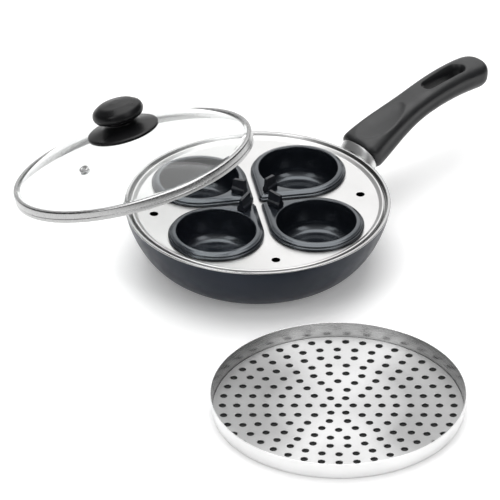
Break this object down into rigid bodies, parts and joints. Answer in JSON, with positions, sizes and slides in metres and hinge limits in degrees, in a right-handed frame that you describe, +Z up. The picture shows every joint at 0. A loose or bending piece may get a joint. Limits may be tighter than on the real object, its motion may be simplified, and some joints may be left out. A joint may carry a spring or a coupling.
{
  "type": "egg poacher pan",
  "caption": "Frying-pan style egg poacher with lift-out non-stick cups on a poaching plate, a domed glass lid and a perforated steamer tray.",
  "frame": {"origin": "middle of the pan's flat base, on the table", "axes": "+Z up, +X from the middle of the pan along its handle; the lid is held up towards -X +Y and the steamer tray stands towards -X -Y"},
  "size_m": [0.446, 0.425, 0.1563],
  "materials": {
    "pan_coating": "pressed aluminium with a dark satin coating and a bright turned lip",
    "plated_steel": "zinc plated",
    "polished_steel": "polished stainless",
    "handle_plastic": "satin dark grey moulding",
    "plate_steel": "bright rolled sheet",
    "cup_non_stick": "black non-stick coating",
    "grip_plastic": "matt black moulding",
    "lid_glass": "clear tempered glass",
    "knob_plastic": "satin black moulding",
    "brass": "turned",
    "seal_rubber": "matt silicone",
    "tray_steel": "bright stainless with a brushed rim"
  },
  "bodies": {
    "pan": {"pan_body": "pan_coating", "handle_stud": "plated_steel", "ferrule": "polished_steel", "handle": "handle_plastic", "handle_bolt": "plated_steel"},
    "plate": {"insert_plate": "plate_steel"},
    "cup_1": {"egg_cup_1": "cup_non_stick", "cup_grip_1": "grip_plastic", "grip_rivet_1": "plated_steel"},
    "cup_2": {"egg_cup_2": "cup_non_stick", "cup_grip_2": "grip_plastic", "grip_rivet_2": "plated_steel"},
    "cup_3": {"egg_cup_3": "cup_non_stick", "cup_grip_3": "grip_plastic", "grip_rivet_3": "plated_steel"},
    "cup_4": {"egg_cup_4": "cup_non_stick", "cup_grip_4": "grip_plastic", "grip_rivet_4": "plated_steel"},
    "lid": {"lid_glass": "lid_glass", "lid_band": "polished_steel", "lid_knob": "knob_plastic", "knob_insert": "brass", "knob_screw": "plated_steel", "knob_washer": "plated_steel", "knob_seal": "seal_rubber", "vent_eyelet": "polished_steel"},
    "tray": {"tray_rim": "tray_steel", "tray_floor": "tray_steel"}
  },
  "joints": [
    {"name": "plate_lift", "type": "slide", "parent": "pan", "child": "plate", "axis": [0, 0, 1], "range_m": [0, 0.03]},
    {"name": "cup_1_lift", "type": "slide", "parent": "plate", "child": "cup_1", "axis": [0, 0, 1], "range_m": [0, 0.028]},
    {"name": "cup_2_lift", "type": "slide", "parent": "plate", "child": "cup_2", "axis": [0, 0, 1], "range_m": [0, 0.028]},
    {"name": "cup_3_lift", "type": "slide", "parent": "plate", "child": "cup_3", "axis": [0, 0, 1], "range_m": [0, 0.028]},
    {"name": "cup_4_lift", "type": "slide", "parent": "plate", "child": "cup_4", "axis": [0, 0, 1], "range_m": [0, 0.028]},
    {"name": "lid_lift", "type": "slide", "parent": "pan", "child": "lid", "axis": [0, 0, 1], "range_m": [0, 0.12]},
    {"name": "tray_lift", "type": "slide", "parent": "pan", "child": "tray", "axis": [0, 0, 1], "range_m": [0, 0.15]}
  ]
}
